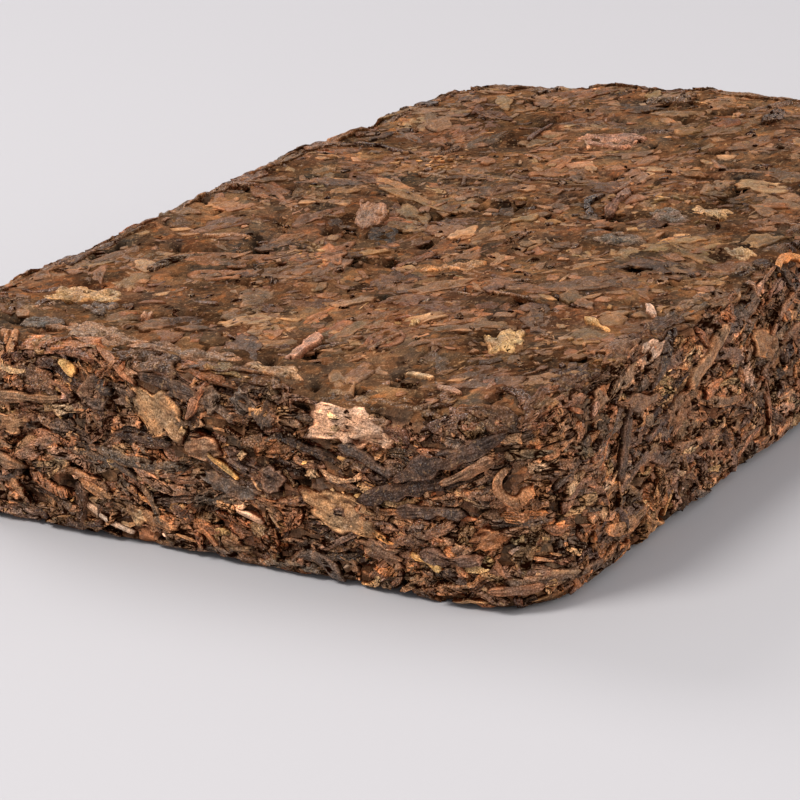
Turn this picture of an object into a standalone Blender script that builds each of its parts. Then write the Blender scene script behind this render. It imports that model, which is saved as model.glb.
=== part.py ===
"""A pressed tea brick: one slab of leaves squeezed in a rectangular mould.

Metres, +Z up. The origin is the centre of the flat underside, +X runs along the brick's long side
and +Y across it.
"""

import math

import bmesh
import bpy
from mathutils import Vector, noise

# Driving dimensions of the slab.
LENGTH = 0.141
WIDTH = 0.094
HEIGHT = 0.025
CORNER_RADIUS = 0.0090
TOP_RIM_RADIUS = 0.0017
FOOT_RIM_RADIUS = 0.0014

# Spacing of the surface points, and how many times closer they stand at the rims.
CELL = 0.0030
RIM_CROWDING = 0.60

BLOCK = 2.0  # side of the cube that the slab is shaped from

# How far the mould's release leaves each face from flat.
SIDE_BELLY = 0.0005
TOP_DISH = 0.0005

# Relief of the pressed leaves: (size of a lump, its height), and the flattening of lumps on the walls.
RELIEF = ((0.016, 0.00060), (0.0068, 0.00070))
WALL_LAYERING = 2.2
RIM_CRUMBLE = 0.0006
RIM_CRUMBLE_SIZE = 0.009
RIM_CRUMBLE_REACH = 0.004
RIM_CRUMBLE_PLACE = Vector((7.3, 1.9, 4.1))  # keeps its noise apart from the relief's
WALL_NORMAL = 0.7  # a surface whose normal rises or falls by less than this is a wall
FOOT_SHARE = 0.25  # the relief fades in over this share of the height, so that the foot stands flat
TOP_FADE = 6  # how fast the shaping of the top dies away down the walls
SWELL_FADE = 3

# Places where the top rim sags (below zero) or stands up: (x, y, spread, rise), with x and y as shares
# of the half length and half width.
RIM_SWELLS = (
    (-1.00, -0.48, 0.013, -0.0013),
    (-1.00, 0.55, 0.016, 0.0005),
    (-0.72, -1.00, 0.012, 0.0010),
    (-0.05, -1.00, 0.016, -0.0007),
    (0.10, 1.00, 0.026, 0.0009),
    (1.00, 0.90, 0.012, -0.0010),
    (1.00, -0.15, 0.020, 0.0011),
)

LEAF_BROWN = (0.115, 0.052, 0.026, 1.0)


def clear_scene():
    for obj in list(bpy.data.objects):
        bpy.data.objects.remove(obj, do_unlink=True)


def pressed_leaf_material():
    material = bpy.data.materials.new("pressed_leaf")
    material.use_nodes = True
    shader = material.node_tree.nodes["Principled BSDF"]
    shader.inputs["Base Color"].default_value = LEAF_BROWN
    shader.inputs["Roughness"].default_value = 0.72
    shader.inputs["Metallic"].default_value = 0.0
    return material


def crowded(share):
    """Moves a coordinate from -1 to 1 towards the nearer end, so that points crowd at the rims."""
    eased = math.sin(share * math.pi / 2)
    return share + RIM_CROWDING * (eased - share)


def gridded_block():
    """A block of the slab's size whose faces are split into a grid."""
    mesh = bmesh.new()
    bmesh.ops.create_cube(mesh, size=BLOCK)
    for axis, side in enumerate((LENGTH, WIDTH, HEIGHT)):
        along = [e for e in mesh.edges if abs(e.verts[0].co[axis] - e.verts[1].co[axis]) > BLOCK / 2]
        bmesh.ops.subdivide_edges(mesh, edges=along, cuts=round(side / CELL) - 1)
    half = Vector((LENGTH, WIDTH, HEIGHT)) / 2
    for vert in mesh.verts:
        vert.co = Vector(crowded(vert.co[axis]) * half[axis] for axis in range(3))
        vert.co.z += half.z
    return mesh


def rounded_plan(point):
    """Pulls a point of the block in to the rounded upright corners."""
    core = Vector((
        max(-LENGTH / 2 + CORNER_RADIUS, min(LENGTH / 2 - CORNER_RADIUS, point.x)),
        max(-WIDTH / 2 + CORNER_RADIUS, min(WIDTH / 2 - CORNER_RADIUS, point.y)),
    ))
    reach = point.xy - core
    if reach.x and reach.y:
        # The square of the corner maps to a quarter disc: equal rings stay equal rings.
        reach = reach.normalized() * max(abs(reach.x), abs(reach.y))
    return Vector((core.x + reach.x, core.y + reach.y, point.z))


def wall_distance(point):
    """How far inside the rounded outline a point lies, and the way out from there."""
    core = Vector((
        max(-LENGTH / 2 + CORNER_RADIUS, min(LENGTH / 2 - CORNER_RADIUS, point.x)),
        max(-WIDTH / 2 + CORNER_RADIUS, min(WIDTH / 2 - CORNER_RADIUS, point.y)),
    ))
    reach = point.xy - core
    if reach.length > 1e-9:
        return CORNER_RADIUS - reach.length, reach.normalized()
    to_end, to_side = LENGTH / 2 - abs(point.x), WIDTH / 2 - abs(point.y)
    if to_end < to_side:
        return to_end, Vector((math.copysign(1.0, point.x), 0.0))
    return to_side, Vector((0.0, math.copysign(1.0, point.y)))


def rounded_rim(point):
    """Rounds the top rim and the foot rim of a point that lies on the block's surface."""
    depth, outward = wall_distance(point)
    radius = TOP_RIM_RADIUS if point.z > HEIGHT / 2 else FOOT_RIM_RADIUS
    height_in = min(point.z, HEIGHT - point.z)
    if depth >= radius or height_in >= radius:
        return point
    # The rim's square section maps to a quarter circle about its centre.
    reach = Vector((radius - depth, radius - height_in))
    reach = reach.normalized() * max(reach.x, reach.y)
    shift = outward * (reach.x - (radius - depth))
    height_in = radius - reach.y
    z = HEIGHT - height_in if point.z > HEIGHT / 2 else height_in
    return Vector((point.x + shift.x, point.y + shift.y, z))


def relief(point, on_wall):
    """Height of the pressed leaves at a point. Lumps on the walls are flattened, as layers are."""
    stretched = Vector((point.x, point.y, point.z * (WALL_LAYERING if on_wall else 1.0)))
    return sum(height * noise.noise(stretched / size) for size, height in RELIEF)


def swell_of_rim(point):
    """Rise of the top near the rim's sagging and raised places."""
    rise = 0.0
    for x_share, y_share, spread, height in RIM_SWELLS:
        gap = point.xy - Vector((x_share * LENGTH / 2, y_share * WIDTH / 2))
        rise += height * math.exp(-(gap.length / spread) ** 2)
    return rise


def pressed(point, normal):
    """Where a point of the smooth slab comes to lie once the leaves are pressed."""
    share = Vector((2 * point.x / LENGTH, 2 * point.y / WIDTH))
    up = point.z / HEIGHT
    on_wall = abs(normal.z) < WALL_NORMAL
    moved = point + normal * relief(point, on_wall) * min(1.0, up / FOOT_SHARE)
    outward = Vector((normal.x, normal.y, 0.0))
    moved += outward * SIDE_BELLY * math.sin(math.pi * up)
    crumble = noise.noise(point / RIM_CRUMBLE_SIZE + RIM_CRUMBLE_PLACE)
    depth, _ = wall_distance(point)
    at_rim = math.exp(-(max(depth, 0.0) / RIM_CRUMBLE_REACH) ** 2) * up ** TOP_FADE
    moved.z -= RIM_CRUMBLE * at_rim * (0.5 + crumble)
    moved.z += swell_of_rim(point) * up ** SWELL_FADE
    dish = (1 - share.x ** 2) * (1 - share.y ** 2)
    moved.z -= TOP_DISH * max(0.0, dish) * up ** TOP_FADE
    return moved


def centre_on_origin(mesh):
    """Slides the slab so that the box round it is centred over the origin."""
    middle = Vector(
        (min(v.co[axis] for v in mesh.verts) + max(v.co[axis] for v in mesh.verts)) / 2 for axis in range(2)
    )
    bmesh.ops.translate(mesh, verts=mesh.verts, vec=(-middle.x, -middle.y, 0.0))


def make_brick(collection):
    mesh = gridded_block()
    for vert in mesh.verts:
        vert.co = rounded_rim(rounded_plan(vert.co))
    mesh.normal_update()
    places = [pressed(vert.co, vert.normal) for vert in mesh.verts]
    underside = [vert.co.z < 1e-6 for vert in mesh.verts]
    for vert, place, lies_flat in zip(mesh.verts, places, underside):
        vert.co = Vector((vert.co.x, vert.co.y, 0.0)) if lies_flat else place
        vert.co.z = max(vert.co.z, 0.0)
    centre_on_origin(mesh)
    bmesh.ops.recalc_face_normals(mesh, faces=mesh.faces)
    data = bpy.data.meshes.new("brick")
    mesh.to_mesh(data)
    mesh.free()
    data.shade_smooth()
    data.materials.append(pressed_leaf_material())
    brick = bpy.data.objects.new("brick", data)
    collection.objects.link(brick)
    return brick


def main():
    clear_scene()
    collection = bpy.data.collections.new("tea_brick")
    bpy.context.scene.collection.children.link(collection)
    make_brick(collection)


main()
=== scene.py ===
"""A pressed tea brick: thousands of leaf fragments laid over a smaller core.

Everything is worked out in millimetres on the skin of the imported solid, and meshed in metres.
"""

import itertools
import math

import bmesh
import bpy
import numpy as np
from mathutils import Matrix, Vector
from mathutils.bvhtree import BVHTree


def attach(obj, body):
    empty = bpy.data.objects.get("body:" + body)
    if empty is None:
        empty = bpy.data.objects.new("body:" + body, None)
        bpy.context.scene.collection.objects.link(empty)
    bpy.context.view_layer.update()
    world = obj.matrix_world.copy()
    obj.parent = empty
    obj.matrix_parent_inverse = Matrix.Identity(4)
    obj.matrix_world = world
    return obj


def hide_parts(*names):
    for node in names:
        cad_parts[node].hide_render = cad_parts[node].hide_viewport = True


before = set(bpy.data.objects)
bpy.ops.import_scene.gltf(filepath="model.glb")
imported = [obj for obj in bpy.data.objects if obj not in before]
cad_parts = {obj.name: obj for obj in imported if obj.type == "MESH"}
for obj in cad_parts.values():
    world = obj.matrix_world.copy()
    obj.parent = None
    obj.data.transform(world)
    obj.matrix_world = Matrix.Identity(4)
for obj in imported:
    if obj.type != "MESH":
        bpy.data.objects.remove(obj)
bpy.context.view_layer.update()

MM = 0.001
BRICK = "brick"
BODY = "root"
TINY = 1e-6  # keeps a division by what may be nothing possible


# ---------------- noise

# Numbers that stir a cell's place and a pattern's seed together.
AXIS_FACTORS = (0x9E3779B1, 0x85EBCA77, 0xC2B2AE3D)
SEED_FACTOR = 0x27D4EB2F
SEED_START = 0x165667B1
STIRRINGS = ((15, 0x2C1B3C6D), (12, 0x297A2D39), (15, 1))
KEPT_BITS = 0xFFFF

FINER, WEAKER = 2.03, 0.5  # the second noise of a fractal, against the first


def hashed(cells, seed):
    """A number from -1 to 1 for each integer cell."""
    mixed = np.uint64(seed * SEED_FACTOR + SEED_START)
    for axis, factor in enumerate(AXIS_FACTORS):
        mixed = mixed ^ cells[..., axis].astype(np.uint64) * np.uint64(factor)
    for shift, factor in STIRRINGS:
        mixed ^= mixed >> np.uint64(shift)
        mixed *= np.uint64(factor)
    return (mixed & np.uint64(KEPT_BITS)).astype(float) / (KEPT_BITS / 2) - 1.0


def noise(points, seed):
    """Smooth noise from -1 to 1, one cell to a unit, at an array of points. Seeds keep patterns apart."""
    cell = np.floor(points)
    share = points - cell
    share = share * share * (3 - 2 * share)
    cell = cell.astype(np.int64)
    total = np.zeros(points.shape[:-1])
    for corner in itertools.product((0, 1), repeat=3):
        weight = np.ones(points.shape[:-1])
        for axis, side in enumerate(corner):
            weight *= share[..., axis] if side else 1 - share[..., axis]
        total += weight * hashed(cell + np.array(corner), seed)
    return total


def fractal(points, seed):
    """Noise with a finer and weaker one on top."""
    return noise(points, seed) + WEAKER * noise(points * FINER, seed + 1)


def swells(points, noises, start=0):
    """The sum of some noises, each given by its cell in millimetres, its height and its seed."""
    return sum((height * noise(points / cell, seed) for cell, height, seed in noises), start)


def patches(points, cell, level, contrast, seed):
    """Noise as patches from 0 to 1, more common the higher the level."""
    return np.clip(level + contrast * noise(points / cell, seed), 0, 1)


# ---------------- the skin that leaves are laid on

SKIN_VOXEL = 0.92
SKIN_SMOOTHING = 2
ONE_POINT = 1e-6  # how close, in metres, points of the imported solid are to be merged
SHARE_SOFTENING = 0.03  # keeps the share of a net point finite where a place falls on it
FLAT_FROM = 0.6  # a way out whose share of up or down is over this is the top's or the underside's
WALL_UP_TO = 0.45  # how far a way out may rise or fall before a face is partly flat
TURN_OF_RIM = 0.3  # how much more it rises or falls before the face is all flat
RIM_SEAT = 3.0  # how far in from the wall the middles of the rim's sheets lie
RIM_SPREAD = 1.2
CLEAR_OF_RIM = 4.0  # how far in from the wall the flakes of the flat faces lie as thickly as elsewhere
GATHERING = (8.0, 0.0, 1.0, 36)  # the patches where clustered kinds gather
TRIES = 3  # places tried for each fragment that is wanted
ELBOW_ROOM = 0.8  # the least distance between seats, as a share of their spacing
NEIGHBOURS = tuple(itertools.product((-1, 0, 1), repeat=3))


class Skin:
    """The slab's outer surface in millimetres, as an even net of quads."""

    def __init__(self, node):
        source = bmesh.new()
        source.from_mesh(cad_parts[node].data)
        bmesh.ops.remove_doubles(source, verts=source.verts, dist=ONE_POINT)
        bmesh.ops.scale(source, vec=(1 / MM,) * 3, verts=source.verts)
        mesh = bpy.data.meshes.new("skin_source")
        source.to_mesh(mesh)
        source.free()
        holder = bpy.data.objects.new("skin_source", mesh)
        bpy.context.scene.collection.objects.link(holder)
        remesh = holder.modifiers.new("even", "REMESH")
        remesh.mode = "VOXEL"
        remesh.voxel_size = SKIN_VOXEL
        smooth = holder.modifiers.new("smooth", "SMOOTH")
        smooth.iterations = SKIN_SMOOTHING
        shaped = holder.evaluated_get(bpy.context.evaluated_depsgraph_get()).to_mesh()
        self.points = numbers(shaped.vertices, "co", 3)
        self.normals = numbers(shaped.vertices, "normal", 3)
        self.quads = np.array([tuple(p.vertices) for p in shaped.polygons if len(p.vertices) == 4])
        bpy.data.objects.remove(holder)
        self.tree = BVHTree.FromPolygons(self.points.tolist(), self.quads.tolist())
        corners = self.points[self.quads]
        self.centres = corners.mean(axis=1)
        self.facing = self.normals[self.quads].mean(axis=1)
        diagonals = np.cross(corners[:, 2] - corners[:, 0], corners[:, 3] - corners[:, 1])
        self.areas = np.linalg.norm(diagonals, axis=1) / 2

    def foot(self, points):
        """The nearest place of the skin to each point, the way out there, and the net's share in it."""
        find = self.tree.find_nearest
        found = [find(point) for point in points.reshape(-1, 3).tolist()]
        places = np.array([hit[0][:] for hit in found])
        corners = self.quads[np.array([hit[2] for hit in found])]
        gaps = np.linalg.norm(self.points[corners] - places[:, None], axis=2)
        weights = 1 / (gaps**2 + SHARE_SOFTENING)
        weights /= weights.sum(axis=1, keepdims=True)
        ways = (self.normals[corners] * weights[..., None]).sum(axis=1)
        ways /= np.linalg.norm(ways, axis=1, keepdims=True)
        return places.reshape(points.shape), ways.reshape(points.shape), corners, weights

    def chances(self, kind):
        """How likely each quad is to seat one of a kind's fragments."""
        if kind.rim:
            weight = rim_share(self.centres, self.facing)
        else:
            weight = region_share(self.facing, kind.regions)
        if kind.regions[1] == 0:
            weight = weight * np.clip(np.minimum(*to_walls(self.centres)) / CLEAR_OF_RIM - 0.5, 0, 1)
        if kind.gathered:
            away = [np.linalg.norm(self.centres - place, axis=1) / radius for place, radius in kind.gathered]
            weight = weight * np.exp(-(np.min(away, axis=0) ** 2))
        share = self.areas * weight * (1 + kind.clustered * patches(self.centres, *GATHERING))
        return share / share.sum()

    def seats(self, kind, rng):
        """Places for a kind's fragments, evenly strewn and about one spacing from each other."""
        apart = kind.spacing * sum(kind.length) / 2
        picks = rng.choice(len(self.quads), size=kind.count * TRIES, p=self.chances(kind))
        tried = self.centres[picks] + (rng.random((len(picks), 3)) - 0.5) * SKIN_VOXEL
        room = apart * ELBOW_ROOM
        taken, cells = [], {}
        for index, place in enumerate(tried):
            cell = tuple(np.floor(place / apart).astype(int))
            near = (cells.get((cell[0] + a, cell[1] + b, cell[2] + c), ()) for a, b, c in NEIGHBOURS)
            if all(np.abs(place - tried[other]).max() > room for group in near for other in group):
                cells.setdefault(cell, []).append(index)
                taken.append(index)
                if len(taken) == kind.count:
                    break
        return tried[taken]


def numbers(items, name, width):
    """One property of many mesh items, as an array with a row for each."""
    values = np.empty(len(items) * width, np.float32)
    items.foreach_get(name, values)
    return values.reshape(-1, width).astype(float)


def region_share(ways, regions):
    """How much each place counts, from the weights of the top, the walls and the underside."""
    top, wall, under = regions
    up = ways[..., 2]
    return np.where(up > FLAT_FROM, top, np.where(up < -FLAT_FROM, under, wall))


def to_walls(places):
    """The distance in from the end walls and from the side walls."""
    half = np.array(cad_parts[BRICK].dimensions[:2]) / 2 / MM
    return half[0] - np.abs(places[..., 0]), half[1] - np.abs(places[..., 1])


def rim_share(places, ways):
    """How much each place counts for what lies along the top rim."""
    inwards = np.minimum(*to_walls(places))
    return np.where(ways[..., 2] > FLAT_FROM, np.exp(-(((inwards - RIM_SEAT) / RIM_SPREAD) ** 2)), 0.0)


def flatness(ways):
    """0 on a wall and 1 on the top or the underside, smoothly."""
    return np.clip((np.abs(ways[..., 2]) - WALL_UP_TO) / TURN_OF_RIM, 0, 1)


def blended(on_wall, on_flat, ways):
    """One value on the walls and another on the flat faces, with a smooth change between them."""
    share = flatness(ways)
    return on_wall * (1 - share) + on_flat * share


# The end wall and the side wall that face the viewer, and the top, in millimetres.
NEAR_END = -70.5
NEAR_SIDE = -47.0
UPPER_FACE = 25.0


def on_end(across, up):
    """A place on the end wall that faces the viewer."""
    return np.array([NEAR_END, across, up])


def on_side(along, up):
    """A place on the side wall that faces the viewer."""
    return np.array([along, NEAR_SIDE, up])


def on_top(along, across):
    """A place on the top."""
    return np.array([along, across, UPPER_FACE])


# The deepest holes between leaves, with their radii.
NOTED_HOLES = (
    (np.array([-68.0, -44.8, 5.0]), 1.7),
    (on_end(-34.8, 22.8), 1.5),
    (on_end(-15.4, 22.2), 1.3),
    (on_end(-12.0, 14.6), 1.0),
    (on_side(-56.0, 18.5), 1.2),
)
# The long gaps between leaves: the two ends of each, and its radius.
NOTED_GAPS = (
    (on_end(24.0, 22.4), on_end(19.0, 23.6), 0.8),
    (on_end(1.5, 24.2), on_end(-9.0, 23.2), 0.7),
    (on_top(-67.8, 4.6), on_top(-58.8, 1.5), 0.8),
    (on_top(-68.0, -17.0), on_top(-61.2, -23.2), 0.8),
    (on_top(-62.7, -27.7), on_top(-60.3, -25.2), 0.8),
    (on_top(-66.4, 27.9), on_top(-62.2, 24.6), 0.9),
    (on_top(-57.2, 19.8), on_top(-52.2, 14.0), 1.0),
    (on_top(-10.5, 19.5), on_top(-14.1, 13.2), 0.6),
    (on_top(-14.1, 12.6), on_top(-7.4, 12.6), 0.7),
    (on_top(-7.4, 12.8), on_top(2.3, 16.8), 0.7),
    (on_top(-0.5, 10.3), on_top(6.5, -1.2), 1.0),
    (on_top(4.6, -14.9), on_top(8.5, -14.2), 1.0),
)

# The lie of the leaves and their common turn, as noises for swells().
WALL_LIE = ((np.array([5.5, 5.5, 2.4]), 0.3, 11), (np.array([2.0, 2.0, 1.0]), 0.16, 12))
FLAT_LIE = ((7.0, 0.18, 13), (2.6, 0.08, 14))
WALL_TURN = ((13.0, 0.45, 16), (5.0, 0.36, 17))
FLAT_TURN = ((17.0, 3.4, 18), (6.0, 1.2, 19))

# Pits lie where noise is over a level, which is higher on some faces.
PIT_SIZE = np.array([2.6, 2.6, 1.7])
PIT_LEVEL = 0.52
PITS_RARER_ON_FLAT = 0.16
PITS_RARER_ON_SIDE = 0.07
BROAD_PIT_SIZE = 3.0
BROAD_PIT_LEVEL = 0.54
BROAD_PITS_RARER_ON_WALL = 0.5
PIT_SLOPE = 0.1
# A gap is whole out to 0.75 of its radius and ends at 1.25 of it, give or take its raggedness.
GAP_HEART = 2.5
GAP_FALL = 2.0
GAP_RAGGED = 0.7
GAP_TEARS = 0.9  # size of the tears in its rim

# How far leaves may stand out on the underside, the walls and the top, by how far the way out rises.
MOULD_RISES = (-0.8, -0.3, 0.3, 0.8)
MOULD_CEILINGS = (0.0, 0.66, 0.66, 0.5)
MOULD_SOFTNESS = 0.15


def clump(points, ways):
    """The lie of the pressed leaves, shared by all that overlap at a place."""
    return blended(swells(points, WALL_LIE), swells(points, FLAT_LIE), ways)


def pit_share(points, ways):
    """1 in the middle of the holes left between leaves, mostly on the walls."""
    flat, side = flatness(ways), np.abs(ways[..., 1])
    deep = noise(points / PIT_SIZE, 15) - PIT_LEVEL - PITS_RARER_ON_FLAT * flat - PITS_RARER_ON_SIDE * side
    broad = noise(points / BROAD_PIT_SIZE, 39) - BROAD_PIT_LEVEL - BROAD_PITS_RARER_ON_WALL * (1 - flat)
    share = np.clip(np.maximum(deep, broad) / PIT_SLOPE, 0, 1)
    ragged = GAP_RAGGED * noise(points / GAP_TEARS, 19)
    for start, end, radius in tuple((hole, hole, radius) for hole, radius in NOTED_HOLES) + NOTED_GAPS:
        run = end - start
        along = np.clip((points - start) @ run / max(run @ run, TINY), 0, 1)
        away = np.linalg.norm(points - start - along[..., None] * run, axis=-1) / radius
        share = np.maximum(share, np.clip(GAP_HEART - GAP_FALL * away - ragged, 0, 1))
    return share


def pressed(height, ways):
    """Flattens what stands out past the mould's face, softly."""
    ceiling = np.interp(ways[..., 2], MOULD_RISES, MOULD_CEILINGS)
    over = (height - ceiling) / MOULD_SOFTNESS
    return ceiling - MOULD_SOFTNESS * np.logaddexp(0, -over)


def flow(places, ways):
    """The angle that leaves of one place share: nearly level on a wall, any way on the flat."""
    return blended(swells(places, WALL_TURN), swells(places, FLAT_TURN), ways)


# ---------------- leaves

# Colours of dry fermented leaf, as linear reflectances.
BLACK_LEAF = (0.032, 0.017, 0.011)
SLATE_LEAF = (0.125, 0.08, 0.054)
COCOA = (0.165, 0.078, 0.04)
BROWN = (0.27, 0.136, 0.068)
RUSSET = (0.36, 0.145, 0.058)
OLIVE = (0.33, 0.192, 0.084)
TAN = (0.56, 0.335, 0.17)
GOLD = (0.68, 0.37, 0.125)
PINKISH = (0.6, 0.36, 0.24)

BATCH_BROWN = np.array([0.215, 0.108, 0.056])
TOP_SHADE = np.array([0.545, 0.525, 0.485])  # tints on the top and the underside are scaled by this, and on the walls by WALL_SHADE
WALL_SHADE = 1.08
# What the brown leans to in places, with the patches() where it does.
LOCAL_BROWNS = (
    ((0.27, 0.118, 0.062), (7.0, 0.3, 1.4, 50)),
    ((0.11, 0.074, 0.05), (6.0, -0.05, 1.4, 51)),
    ((0.31, 0.16, 0.078), (5.0, -0.2, 1.4, 52)),
)
LOCAL_LIGHT = ((np.array([9.0, 9.0, 5.0]), 0.52, 33), (3.5, 0.38, 35))
LIGHT_ON_TOP = 0.7  # on the flat faces, the power of the local light that shades a leaf's own tint too

TOP_MIX = (
    (BLACK_LEAF, 1.1), (SLATE_LEAF, 2.4), (COCOA, 2.8), (BROWN, 3.4), (RUSSET, 2.2), (OLIVE, 2.6),
    (TAN, 1.3),
)
WALL_MIX = (
    (BLACK_LEAF, 1.0), (SLATE_LEAF, 2.8), (COCOA, 3.0), (BROWN, 3.8), (RUSSET, 2.6), (OLIVE, 1.4),
    (TAN, 1.5), (PINKISH, 0.6),
)
RIM_MIX = ((SLATE_LEAF, 2.4), (COCOA, 3.4), (BROWN, 3.0), (RUSSET, 1.4), (OLIVE, 1.4))
ROLLED_MIX = ((BLACK_LEAF, 1.4), (SLATE_LEAF, 3.6), (COCOA, 3.0), (BROWN, 2.2), (RUSSET, 1.4))
STALK_MIX = ((RUSSET, 2.2), (BROWN, 2.2), (PINKISH, 0.4), (TAN, 0.6), (COCOA, 1.6))
TIP_MIX = ((TAN, 1.3), (GOLD, 1.2), (RUSSET, 2.2), (BROWN, 1.2), (PINKISH, 0.2))
GOLDEN_MIX = ((TAN, 2.0), (GOLD, 1.6), (OLIVE, 2.0), (PINKISH, 0.6), (BROWN, 1.0))
CRUMB_MIX = (
    (COCOA, 2.0), (BROWN, 3.0), (RUSSET, 2.0), (TAN, 2.0), (GOLD, 0.7), (PINKISH, 0.7), (BLACK_LEAF, 1.2),
)

CREASE_ANGLE = math.radians(26)  # a fold sharper than this shows as a crease
EDGE_LINE = 0.87  # where the last grid line before the edge lies, from the middle at 0 to the edge at 1
ON_LINE = 0.01  # how near to a grid line's place a point of it lies
LEAST_LINES = 4  # a grid with fewer lines than this has no line close to its edge


class Kind:
    """One kind of fragment. Lengths and heights are in millimetres, angles in radians."""

    regions = (1.0, 1.0, 1.0)  # weights of the top, the walls and the underside
    mix = TOP_MIX
    wall_mix = WALL_MIX
    ribbon = False  # a long strip with a curved middle line, rather than a torn shard
    bluntness = (2.0, 4.0)  # how square a ribbon's ends are
    ragged = 0.1  # raggedness of the outline, as a share of the half width
    body = 0.0  # thickness of a ribbon with a round body
    camber = (-0.1, 0.35)  # height of the middle, as a share of the half width
    drop = 0.16  # how far the edge turns down
    furrows = (0.0, 0.0)  # number across
    furrow_depth = 0.0
    twist = 0.0
    crumple = 0.1
    bend = 0.25
    hooked = 0.0  # share of ribbons bent into a hook
    curls = 0.0  # half the turn from end to end, besides the random bend
    lift = (-0.3, 0.25)
    tilt = 0.1
    stiff = 0.35  # 0 follows the skin all the way, 1 stays as flat as it grew
    skirt = 0.6  # depth of the torn edge
    spread = 0.35  # spread of the heading about the flow
    spacing = 0.25  # least distance between seats, as a share of the mean length
    clustered = 0.0  # how much denser it lies where it gathers
    own_colour = 0.85  # on a wall, 1 keeps its own tint and 0 takes its neighbours'
    own_on_flat = 0.55
    patchy = 0.35  # how much of it is stained to the common brown, in patches
    gathered = ()  # places with radii that it keeps to
    rim = False  # lies along the top rim, and juts out over the wall
    material = "dry_leaf"

    def __init__(self, name, count, length, width, grid, **traits):
        self.name, self.count, self.length, self.width, self.grid = name, count, length, width, grid
        for trait, value in traits.items():
            if not hasattr(self, trait):
                raise AttributeError(trait)
            setattr(self, trait, value)


# What the kinds of broken leaf and of rolled leaf in the walls share.
BROKEN = {"regions": (0.0, 1.0, 0.0), "material": "broken_leaf", "own_colour": 0.95, "patchy": 0.22}
ROLLED = {
    "ribbon": True, "mix": ROLLED_MIX, "wall_mix": ROLLED_MIX, "camber": (0.0, 0.2), "crumple": 0.14,
    "hooked": 0.16, "material": "rolled_leaf", "own_colour": 0.95, "patchy": 0.22,
}

# Places with radii where golden crumbs lie.
GOLDEN_PATCHES = (
    (on_top(-48.0, -34.0), 5.0),
    (on_top(-34.0, -38.0), 4.0),
    (on_top(-53.0, -12.0), 3.0),
    (on_top(14.0, -22.0), 6.0),
    (on_top(20.0, 24.0), 6.0),
    (on_top(-24.0, 14.0), 4.0),
    (on_end(-20.5, 9.5), 3.5),
    (on_end(19.0, 22.5), 1.8),
    (np.array([12.0, 47.0, 12.0]), 4.0),
    (np.array([70.0, -10.0, 10.0]), 4.0),
)

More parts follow.
